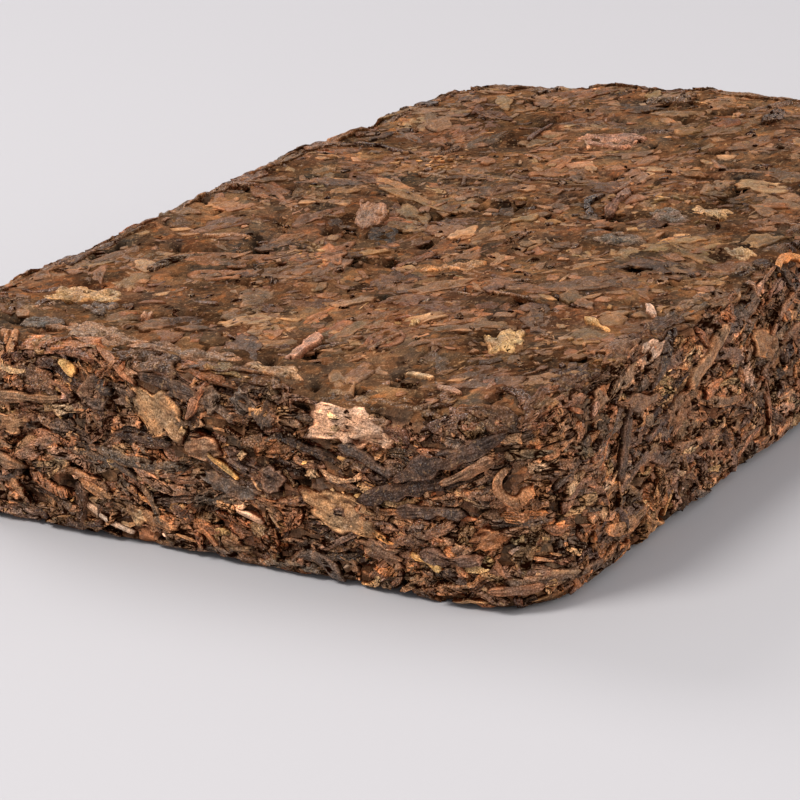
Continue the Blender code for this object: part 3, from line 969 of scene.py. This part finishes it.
MAP_MARGIN = 0.14  # margin round a fragment in its square of the baking map
SKIRT_SCALE = 1.22  # size of the skirt in that square, against the fragment's outline


def baking_map(kind, count):
    """A UV map with one square of the sheet for each fragment, its skirt in the square's margin."""
    across = [np.linspace(MAP_MARGIN, 1 - MAP_MARGIN, lines) for lines in kind.grid]
    flat = stacked(*np.meshgrid(*across, indexing="ij")).reshape(-1, 2)
    outer = 0.5 + (flat[ring_of(kind.grid)] - 0.5) * SKIRT_SCALE
    one = np.concatenate([flat, outer])
    side = math.ceil(math.sqrt(count))
    cell = stacked(np.arange(count) % side, np.arange(count) // side)
    return (one[None] + cell[:, None]) / side


def meshed(name, points, faces, tints, state, layers, material):
    """A mesh object in metres, with its colours, its creasing and sheen, and its UV layers."""
    mesh = bpy.data.meshes.new(name)
    mesh.from_pydata((points * MM).tolist(), [], faces.tolist())
    for attribute, values in (("leaf_tint", tints), ("leaf_state", state)):
        layer = mesh.color_attributes.new(attribute, "FLOAT_COLOR", "POINT")
        padded = np.ones((len(points), 4), np.float32)
        padded[:, : values.shape[1]] = values
        layer.data.foreach_set("color", padded.ravel())
    corner = np.empty(len(mesh.loops), np.int32)
    mesh.loops.foreach_get("vertex_index", corner)
    for layer_name, values in layers.items():
        layer = mesh.uv_layers.new(name=layer_name)
        layer.data.foreach_set("uv", values[corner].astype(np.float32).ravel())
    mesh.shade_smooth()
    mesh.set_sharp_from_angle(angle=CREASE_ANGLE)
    mesh.materials.append(MATERIALS[material])
    piece = bpy.data.objects.new(name, mesh)
    bpy.context.scene.collection.objects.link(piece)
    return piece


def piece_of(laid, level):
    """The mesh object of one kind, with a skirt round every fragment for its torn edge, darkened with
    painted shade.
    """
    kind, ring = laid.kind, ring_of(laid.kind.grid)
    hem = laid.points[:, ring] - laid.ways[:, ring] * kind.skirt
    points = np.concatenate([laid.points, hem], axis=1)
    points[..., 2] = np.maximum(points[..., 2], 0.0)
    tints, sheen = coloured(laid, level)
    # the skirt is darkened with painted shade, less on the flat faces
    shaded = SKIRT_PAINTED_SHADE ** (1 - SKIRT_PAINTED_SHADE_ON_FLAT * flatness(laid.ways[:, ring])[..., None])
    tints = np.concatenate([tints, tints[:, ring] * shaded], axis=1)
    sheen = np.concatenate([sheen, sheen[:, ring] * 0.0], axis=1)
    creasing = np.broadcast_to(laid.creasing[:, None, None], sheen.shape)
    state = np.concatenate([creasing, sheen], axis=2)
    grain = np.concatenate([laid.grain, laid.grain[:, ring] + SKIRT_GRAIN], axis=1)
    count, per = points.shape[:2]
    faces = (faces_of(kind.grid)[None] + np.arange(count)[:, None, None] * per).reshape(-1, 4)
    layers = {"grain": grain.reshape(-1, 2), "OFBake": baking_map(kind, count).reshape(-1, 2)}
    flat = points.reshape(-1, 3), faces, tints.reshape(-1, 3), state.reshape(-1, 2)
    return meshed(kind.name, *flat, layers, kind.material)


# ---------------- the core

CORE_DEPTH = 0.46
CORE_RISE = 0.32  # how much nearer to the surface the core comes on the flat sides
CORE_PITS = 1.5  # how much deeper it is in a pit
SHALLOWER_PITS = 0.6
CORE_LAYERS = np.array([1.9, 1.9, 1.0])
CORE_CRUMPLE = 0.22
CORE_SMOOTHNESS = 0.5  # how much less it is crumpled on the flat sides
CORE_STAND = 0.1  # how far the core stays off the floor
CORE_MOTTLE = 0.3
CORE_MOTTLE_SIZE = 1.3
# how much darker the core is in a pit: painted shade
PIT_PAINTED_SHADE = 0.88


def core_piece(skin):
    """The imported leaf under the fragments: the skin itself, drawn in and crumpled."""
    points, ways = skin.points, skin.normals
    flat, pits = flatness(ways), pit_share(points, ways)
    depth = CORE_DEPTH - CORE_RISE * flat + (CORE_PITS - SHALLOWER_PITS * flat) * pits
    depth = depth - CORE_CRUMPLE * fractal(points / CORE_LAYERS, 41) * (1 - CORE_SMOOTHNESS * flat)
    drawn = points + ways * (clump(points, ways) - depth)[:, None]
    drawn[:, 2] = np.maximum(drawn[:, 2], CORE_STAND)
    # the tone holds random mottling and painted shade in the pits
    tone = 1 + CORE_MOTTLE * noise(points / CORE_MOTTLE_SIZE, 42) - PIT_PAINTED_SHADE * pits
    x, y, z = points.T
    lying = flat > 0.5
    grain = stacked(np.where(lying, x, x + y), np.where(lying, y, z))
    shade = WALL_SHADE + (TOP_SHADE - WALL_SHADE) * flat[:, None]
    tones = tone[:, None] * shade * local_brown(points) / BATCH_BROWN
    state = np.tile([1.0, 0.0], (len(points), 1))
    return meshed("core", drawn, skin.quads, tones, state, {"grain": grain}, "packed_leaf")


# ---------------- materials


class Nodes:
    """Short ways to add and link the nodes of one material."""

    def __init__(self, name):
        self.material = bpy.data.materials.new(name)
        self.material.use_nodes = True
        self.tree = self.material.node_tree
        self.shader = self.tree.nodes["Principled BSDF"]

    def add(self, kind, links=None, **settings):
        node = self.tree.nodes.new(kind)
        for key, value in settings.items():
            setattr(node, key, value)
        for socket, value in (links or {}).items():
            if isinstance(value, bpy.types.NodeSocket):
                self.tree.links.new(value, node.inputs[socket])
            else:
                node.inputs[socket].default_value = value
        return node

    def attribute(self, name):
        """What the mesh holds for each point under a name."""
        return self.add("ShaderNodeAttribute", attribute_name=name).outputs["Color"]

    def place(self):
        """The shaded point, in metres."""
        return self.add("ShaderNodeTexCoord").outputs["Object"]

    def maths(self, operation, first, second):
        return self.add("ShaderNodeMath", {0: first, 1: second}, operation=operation).outputs[0]

    def times(self, first, second):
        return self.maths("MULTIPLY", first, second)

    def plus(self, first, second):
        return self.maths("ADD", first, second)

    def noise(self, vector, scale, detail, distortion=0.0):
        """Noise from 0 to 1, with so many cells to a unit: as many each way, or a number for each."""
        scales = scale if isinstance(scale, tuple) else (scale,) * 3
        moved = self.add("ShaderNodeMapping", {"Vector": vector, "Scale": scales}).outputs[0]
        links = {"Vector": moved, "Scale": 1.0, "Detail": detail, "Distortion": distortion}
        return self.add("ShaderNodeTexNoise", links).outputs["Fac"]

    def ridge(self, pattern):
        """The distance of a noise from its middle value, which it crosses along winding lines."""
        return self.maths("ABSOLUTE", self.maths("SUBTRACT", pattern, 0.5), 0.0)

    def ramp(self, value, stops):
        """Goes from one stop to the next, each given by its value and its grey or its colour."""
        node = self.add("ShaderNodeValToRGB", {"Fac": value})
        elements = node.color_ramp.elements
        while len(elements) < len(stops):
            elements.new(0.5)
        for element, (position, tint) in zip(elements, stops):
            element.position = position
            element.color = (*tint, 1) if isinstance(tint, tuple) else (tint, tint, tint, 1)
        return node.outputs["Color"]

    def palette(self, vector, scale, tints):
        """Cells of random size and shape, each in one of the tints."""
        moved = self.add("ShaderNodeMapping", {"Vector": vector, "Scale": scale}).outputs[0]
        cells = self.add("ShaderNodeTexVoronoi", {"Vector": moved, "Scale": 1.0}).outputs["Color"]
        picked = self.add("ShaderNodeSeparateColor", {0: cells}).outputs[0]
        return self.ramp(picked, [(index / (len(tints) - 1), tint) for index, tint in enumerate(tints)])

    def step(self, value, level, below, above):
        """One grey below a level of a noise and another above it, with a soft change."""
        return self.ramp(value, ((level - STEP_SOFTNESS, below), (level + STEP_SOFTNESS, above)))

    def mixed(self, share, first, second, blend="MIX"):
        """One colour laid over another by a share."""
        node = self.add("ShaderNodeMix", data_type="RGBA", blend_type=blend)
        for name, value in (("Factor", share), ("A", first), ("B", second)):
            socket = next(s for s in node.inputs if s.name == name and s.enabled)
            if isinstance(value, bpy.types.NodeSocket):
                self.tree.links.new(value, socket)
            else:
                socket.default_value = value
        return next(s for s in node.outputs if s.enabled)


# Scales of the patterns: across the fibres in millimetres, and in the others to a metre.
FIBRES = (0.5, 3.0, 1.0)
CREASES = (0.24, 0.85, 1.0)
MOSAIC_LEAVES = (300.0, 300.0, 750.0)
MOSAIC_CRUMB = (1150.0, 1150.0, 1500.0)
SEAMS = (170.0, 170.0, 640.0)
DRIFT = 420.0
HEALED = 350.0
WRINKLES = 800.0
MOTTLES = 1100.0
POCKS = 2200.0
GRIT = 4500.0
WANDER = 700.0
WANDER_STEP = (MM, MM, MM / 2)
CRUMB_PLACES = 260.0

# How far from the middle of a dark line its painted shade, its dullness and its groove begin and end.
LINE_COLOUR = ((0.01, 1.0), (0.042, 0.0))
LINE_SHEEN = ((0.02, 0.0), (0.06, 1.0))
LINE_GROOVE = ((0.0, 0.0), (0.06, 1.0))
GROOVE_DEPTH = 0.26
NO_LINE = 0.3  # so far from its middle, a line doesn't show
STEP_SOFTNESS = 0.05
FOLD_WIDTH = 0.6  # folds and seams count as nearer than they are by these shares, which widens them
SEAM_WIDTH = 0.7

COOL_CAST = (0.84, 0.9, 0.96, 1)
WARM_CAST = (1.14, 1.02, 0.92, 1)
RUST = (0.38, 0.165, 0.062, 1.0)
POCK_PALE = (0.52, 0.31, 0.16, 1.0)
CRINKLE_PAINTED_SHADE = (0.03, 0.011, 0.005, 1.0)
LINE_PAINTED_SHADE = (0.012, 0.003, 0.001, 1.0)


def own_tint(nodes):
    """The colour each fragment was given."""
    return nodes.attribute("leaf_tint")


def mosaic_tint(nodes):
    """Small leaves packed together with finer crumb, each its own brown, times the mesh's own tone, which
    holds painted shade in the pits.
    """
    place = nodes.place()
    scale = {"Vector": place, "Scale": WANDER, "Detail": 2.0}
    wander = nodes.add("ShaderNodeTexNoise", scale).outputs["Color"]
    bent = nodes.add("ShaderNodeVectorMath", {0: wander, 1: WANDER_STEP, 2: place}, operation="MULTIPLY_ADD")
    leaves = nodes.palette(bent.outputs[0], MOSAIC_LEAVES, (BLACK_LEAF, COCOA, SLATE_LEAF, BROWN, COCOA))
    crumb = nodes.palette(bent.outputs[0], MOSAIC_CRUMB, (COCOA, BROWN, SLATE_LEAF, BROWN, RUSSET))
    where = nodes.noise(place, CRUMB_PLACES, detail=2.0)
    packed = nodes.mixed(nodes.ramp(where, ((0.46, 0.1), (0.56, 0.9))), leaves, crumb)
    return nodes.mixed(1.0, packed, own_tint(nodes), "MULTIPLY")


def leaf_material(
    name, tint_of, roughness, shine, fibre, mottling, speckle, rust, cracked, wrinkled, grooved
):
    """Dry leaf: fibres, mottling, grit and rusty bloom, split by creases along the fragment that are painted
    near black as shade.

    Grooves are the seams of the pressed layers, painted dark as shade over a groove in the bump, which run
    on from one fragment to the next.
    """
    nodes = Nodes(name)
    grain = nodes.add("ShaderNodeUVMap", uv_map="grain").outputs["UV"]
    place = nodes.place()
    fibres = nodes.noise(grain, FIBRES, detail=3.0, distortion=0.4)
    mottle = nodes.noise(place, MOTTLES, detail=4.0)
    grit = nodes.noise(place, GRIT, detail=2.0)
    drift = nodes.noise(place, DRIFT, detail=2.0)
    healed = nodes.noise(place, HEALED, detail=2.0)
    pocks = nodes.noise(place, POCKS, detail=3.0)
    crinkle = nodes.ridge(pocks)
    creasing, sheen, _ = nodes.add("ShaderNodeSeparateColor", {0: nodes.attribute("leaf_state")}).outputs

    # The distance from the nearest dark line, be it a crease, a fold or a seam.
    creases = nodes.ridge(nodes.noise(grain, CREASES, detail=2.5, distortion=0.7))
    away = nodes.plus(creases, nodes.step(healed, cracked, 0.0, NO_LINE))
    away = nodes.plus(away, nodes.ramp(creasing, ((0.0, 0.07), (0.75, 0.0))))
    folds = nodes.ridge(nodes.noise(place, WRINKLES, detail=2.0, distortion=1.2))
    folds = nodes.plus(folds, nodes.step(healed, 1 - wrinkled, NO_LINE, 0.0))
    away = nodes.maths("MINIMUM", away, nodes.times(folds, FOLD_WIDTH))
    if grooved:
        seams = nodes.ridge(nodes.noise(place, SEAMS, detail=3.0, distortion=0.5))
        seams = nodes.plus(seams, nodes.step(drift, grooved, 0.0, NO_LINE))
        away = nodes.maths("MINIMUM", away, nodes.times(seams, SEAM_WIDTH))

    cast = nodes.mixed(nodes.ramp(drift, ((0.38, 0.0), (0.62, 1.0))), COOL_CAST, WARM_CAST)
    colour = nodes.mixed(1.0, tint_of(nodes), cast, "MULTIPLY")
    for detail, darker, lighter in (
        (fibres, fibre, fibre * 0.6), (mottle, mottling, mottling), (grit, speckle * 0.8, speckle * 0.8),
    ):
        shade = nodes.ramp(detail, ((0.32, 1 - darker), (0.68, 1 + lighter)))
        colour = nodes.mixed(1.0, colour, shade, "MULTIPLY")
    for share, laid_over in (
        (nodes.ramp(mottle, ((0.56, 0.0), (0.7, rust))), RUST),
        (nodes.ramp(pocks, ((0.59, 0.0), (0.68, 0.8 * speckle))), POCK_PALE),
        # crinkles, creases, folds and seams are darkened with painted shade
        (nodes.ramp(crinkle, ((0.006, 0.85 * speckle), (0.028, 0.0))), CRINKLE_PAINTED_SHADE),
        (nodes.ramp(away, LINE_COLOUR), LINE_PAINTED_SHADE),
    ):
        colour = nodes.mixed(share, colour, laid_over)
    nodes.tree.links.new(colour, nodes.shader.inputs["Base Color"])

    nodes.shader.inputs["Roughness"].default_value = roughness
    specks = nodes.times(sheen, nodes.ramp(grit, ((0.52, 0.15 * shine), (0.62, shine))))
    glint = nodes.times(specks, nodes.ramp(away, LINE_SHEEN))
    nodes.tree.links.new(glint, nodes.shader.inputs["Specular IOR Level"])

    relief = nodes.times(nodes.ramp(away, LINE_GROOVE), GROOVE_DEPTH)
    for detail, height in (
        (fibres, fibre), (mottle, 0.45), (crinkle, 1.2 * speckle), (pocks, 0.3 * speckle),
        (grit, 0.2 * speckle),
    ):
        relief = nodes.plus(relief, nodes.times(detail, height))
    bumped = nodes.add("ShaderNodeBump", {"Height": relief, "Strength": 1.0, "Distance": MM})
    nodes.tree.links.new(bumped.outputs[0], nodes.shader.inputs["Normal"])
    return nodes.material


# For each material its roughness, shine, fibre, mottling, speckle, rust, cracked, wrinkled and grooved.
LOOKS = {
    "dry_leaf": (0.45, 0.28, 0.14, 0.2, 0.2, 0.26, 0.32, 0.22, 0.0),
    "broken_leaf": (0.27, 0.95, 0.28, 0.52, 0.8, 0.3, 0.62, 0.48, 0.52),
    "rolled_leaf": (0.26, 0.95, 0.32, 0.46, 0.7, 0.2, 0.56, 0.35, 0.46),
    "whole_leaf": (0.34, 0.5, 0.36, 0.36, 0.52, 0.24, 0.42, 0.36, 0.0),
    "stalk": (0.4, 0.6, 0.24, 0.35, 0.46, 0.15, 0.34, 0.2, 0.0),
    "packed_leaf": (0.6, 0.2, 0.1, 0.26, 0.34, 0.2, 0.34, 0.34, 0.0),
}
MATERIALS = {
    name: leaf_material(name, mosaic_tint if name == "packed_leaf" else own_tint, *look)
    for name, look in LOOKS.items()
}


# ---------------- the brick

SEED = 20


def build_brick():
    """The core and one joined piece for each kind of fragment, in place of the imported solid."""
    skin = Skin(BRICK)
    rng = np.random.default_rng(SEED)
    core = core_piece(skin)
    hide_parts(BRICK)
    noted = [Laid(kind, skin, rng) for kind in NOTED_KINDS]
    everything = noted + [Laid(kind, skin, rng, noted) for kind in KINDS]
    level = levels(skin, everything)
    for piece in [core] + [piece_of(laid, level) for laid in everything]:
        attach(piece, BODY)


# ---------------- the studio

FLOOR_REACH = 6.0
FLOOR_GREY = (0.45, 0.434, 0.443, 1)
SKY = (0.95, 0.96, 1.0, 1)
SKY_STRENGTH = 0.7
# Each light's name, place, target, size, power and colour.
LIGHTS = (
    ("window", (-0.5, 0.32, 0.78), (0.0, 0.0, 0.01), 0.36, 7.4, (1.0, 0.985, 0.96)),
    ("bounce", (0.1, -0.95, 0.38), (0.0, 0.0, 0.01), 0.8, 4.8, (1.0, 0.97, 0.93)),
    ("backdrop", (0.55, 1.7, 1.1), (0.6, 1.1, 0.0), 1.0, 26.0, (1.0, 0.99, 1.0)),
)


def aimed(eye, target, roll=0.0):
    """A matrix at eye that looks at target, turned about its own line of sight."""
    turn = (Vector(eye) - Vector(target)).to_track_quat("Z", "Y")
    return Matrix.Translation(eye) @ turn.to_matrix().to_4x4() @ Matrix.Rotation(roll, 4, "Z")


def area_light(name, eye, target, size, power, colour):
    data = bpy.data.lights.new(name, "AREA")
    data.shape = "DISK"
    data.size = size
    data.energy = power
    data.color = colour
    lamp = bpy.data.objects.new(name, data)
    bpy.context.scene.collection.objects.link(lamp)
    lamp.matrix_world = aimed(eye, target)


def build_floor():
    floor = bpy.data.meshes.new("floor")
    corners = [(x * FLOOR_REACH, y * FLOOR_REACH, 0.0) for x, y in ((-1, -1), (1, -1), (1, 1), (-1, 1))]
    floor.from_pydata(corners, [], [(0, 1, 2, 3)])
    floor_object = bpy.data.objects.new("floor", floor)
    bpy.context.scene.collection.objects.link(floor_object)
    paint = Nodes("pale_floor")
    paint.shader.inputs["Base Color"].default_value = FLOOR_GREY
    paint.shader.inputs["Roughness"].default_value = 0.9
    paint.shader.inputs["Specular IOR Level"].default_value = 0.1
    floor.materials.append(paint.material)


def build_studio():
    build_floor()
    scene = bpy.context.scene
    scene.view_settings.view_transform = "Standard"
    world = bpy.data.worlds.new("studio")
    world.use_nodes = True
    sky = world.node_tree.nodes["Background"]
    sky.inputs["Color"].default_value = SKY
    sky.inputs["Strength"].default_value = SKY_STRENGTH
    scene.world = world
    for light in LIGHTS:
        area_light(*light)


# The photograph's camera, fitted to the brick's outline.
CAMERA_BEARING = math.radians(214.4)
CAMERA_RISE = math.radians(19.7)
CAMERA_ROLL = math.radians(4.3)
CAMERA_DISTANCE = 0.3608
CAMERA_LENS = 126.7
SENSOR_WIDTH = 36.0
AIM = (-0.0412, -0.01, 0.0125)


def build_camera():
    data = bpy.data.cameras.new("camera")
    data.lens = CAMERA_LENS
    data.sensor_width = SENSOR_WIDTH
    camera = bpy.data.objects.new("camera", data)
    bpy.context.scene.collection.objects.link(camera)
    back = Vector((
        math.cos(CAMERA_RISE) * math.cos(CAMERA_BEARING),
        math.cos(CAMERA_RISE) * math.sin(CAMERA_BEARING),
        math.sin(CAMERA_RISE),
    ))
    camera.matrix_world = aimed(Vector(AIM) + back * CAMERA_DISTANCE, AIM, -CAMERA_ROLL)
    bpy.context.scene.camera = camera


build_brick()
build_studio()
build_camera()
